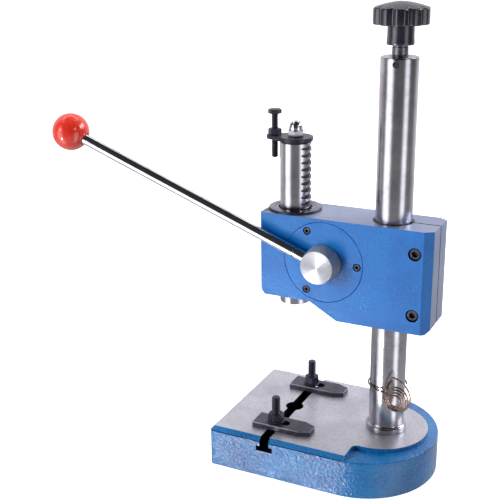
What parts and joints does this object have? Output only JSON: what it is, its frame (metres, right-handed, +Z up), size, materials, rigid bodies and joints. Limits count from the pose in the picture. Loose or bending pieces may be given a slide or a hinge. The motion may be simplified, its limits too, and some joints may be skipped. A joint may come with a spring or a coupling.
{
  "type": "arbor press",
  "caption": "Hand-operated bench arbor press: a lever-driven rack ram in a head that slides on a round column over a T-slotted base.",
  "frame": {"origin": "on the base's flat underside, on the ram's axis", "axes": "+Z up along the ram's axis, +X from the operator's side towards the column, -Y the lever's side"},
  "size_m": [0.3777, 0.14, 0.4241],
  "materials": {
    "blue_enamel": "gloss hammered enamel, machined faces bare",
    "ground_steel": "ground and polished",
    "gear_steel": "machined, lightly oiled",
    "black_oxide": "black oxide, satin",
    "bronze": "machined",
    "spring_wire": "bright drawn wire",
    "nylon": "matt",
    "turned_aluminium": "fine turned",
    "chrome": "mirror",
    "red_ball": "gloss",
    "black_plastic": "satin moulded"
  },
  "bodies": {
    "base": {"base_casting": "blue_enamel", "column": "ground_steel", "column_bolt": "black_oxide", "column_bolt_washer": "black_oxide", "screw_bushing": "bronze", "bushing_grub_screw": "black_oxide", "column_spring": "spring_wire"},
    "head": {"head_casting": "blue_enamel", "pinion_cover": "blue_enamel", "cover_bushing": "bronze", "rear_bushing": "bronze", "rear_thrust_washer": "ground_steel", "ram_flange": "black_oxide", "height_nut": "bronze", "height_nut_screw": "black_oxide", "ram_friction_plug": "nylon", "ram_friction_screw": "black_oxide", "cover_screw_1": "black_oxide", "cover_screw_2": "black_oxide", "cover_screw_3": "black_oxide", "column_clamp_screw_1": "black_oxide", "column_clamp_screw_2": "black_oxide"},
    "height_knob": {"height_screw": "gear_steel", "star_knob": "black_plastic"},
    "lever": {"pinion_gear": "gear_steel", "pinion_shaft": "ground_steel", "pinion_key": "gear_steel", "front_spacer": "ground_steel", "rear_spacer": "ground_steel", "shaft_retaining_ring": "black_oxide", "lever_hub": "turned_aluminium", "hub_set_screw": "black_oxide", "lever_rod": "chrome", "lever_ball": "red_ball"},
    "ram": {"ram": "ground_steel", "nose_set_screw": "black_oxide", "stop_spacer": "black_oxide", "stop_plate": "black_oxide", "ram_stud": "gear_steel", "acorn_nut": "chrome"},
    "stop_bolt": {"depth_stop_bolt": "black_oxide"},
    "stop_nut": {"depth_stop_nut": "black_oxide"},
    "clamp_1": {"t_bolt_1": "black_oxide", "clamp_washer_1": "black_oxide", "clamp_nut_1": "black_oxide"},
    "clamp_2": {"t_bolt_2": "black_oxide", "clamp_washer_2": "black_oxide", "clamp_nut_2": "black_oxide"},
    "strap_1": {"clamp_strap_1": "black_oxide"},
    "strap_2": {"clamp_strap_2": "black_oxide"}
  },
  "joints": [
    {"name": "head_height", "type": "slide", "parent": "base", "child": "head", "axis": [0, 0, 1], "range_m": [-0.04, 0.11]},
    {"name": "height_knob_turn", "type": "hinge", "parent": "base", "child": "height_knob", "pos_m": [0.0925, 0, 0.39], "axis": [0, 0, 1], "range_deg": [-9902, 3602]},
    {"name": "lever_pull", "type": "hinge", "parent": "head", "child": "lever", "pos_m": [0.037, 0, 0.2005], "axis": [0, -1, 0], "range_deg": [-22, 64]},
    {"name": "ram_press", "type": "slide", "parent": "head", "child": "ram", "axis": [0, 0, -1], "range_m": [-0.0098, 0.0282]},
    {"name": "stop_bolt_adjust", "type": "slide", "parent": "ram", "child": "stop_bolt", "axis": [0, 0, 1], "range_m": [-0.007, 0.015]},
    {"name": "stop_nut_back_off", "type": "slide", "parent": "ram", "child": "stop_nut", "axis": [0, 0, 1], "range_m": [0, 0.006]},
    {"name": "clamp_1_along_slot", "type": "slide", "parent": "base", "child": "clamp_1", "axis": [0, 1, 0], "range_m": [-0.012, 0.01]},
    {"name": "strap_1_swivel", "type": "hinge", "parent": "clamp_1", "child": "strap_1", "pos_m": [0, -0.043, 0.0425], "axis": [0, 0, 1], "range_deg": [-30, 30]},
    {"name": "clamp_2_along_slot", "type": "slide", "parent": "base", "child": "clamp_2", "axis": [0, 1, 0], "range_m": [-0.01, 0.012]},
    {"name": "strap_2_swivel", "type": "hinge", "parent": "clamp_2", "child": "strap_2", "pos_m": [0, 0.043, 0.0425], "axis": [0, 0, 1], "range_deg": [-30, 30]}
  ],
  "couplings": [
    {"joint": "height_knob_turn", "follows": "head_height", "rad_per_m": -1570.8},
    {"joint": "ram_press", "follows": "lever_pull", "m_per_rad": 0.025}
  ]
}
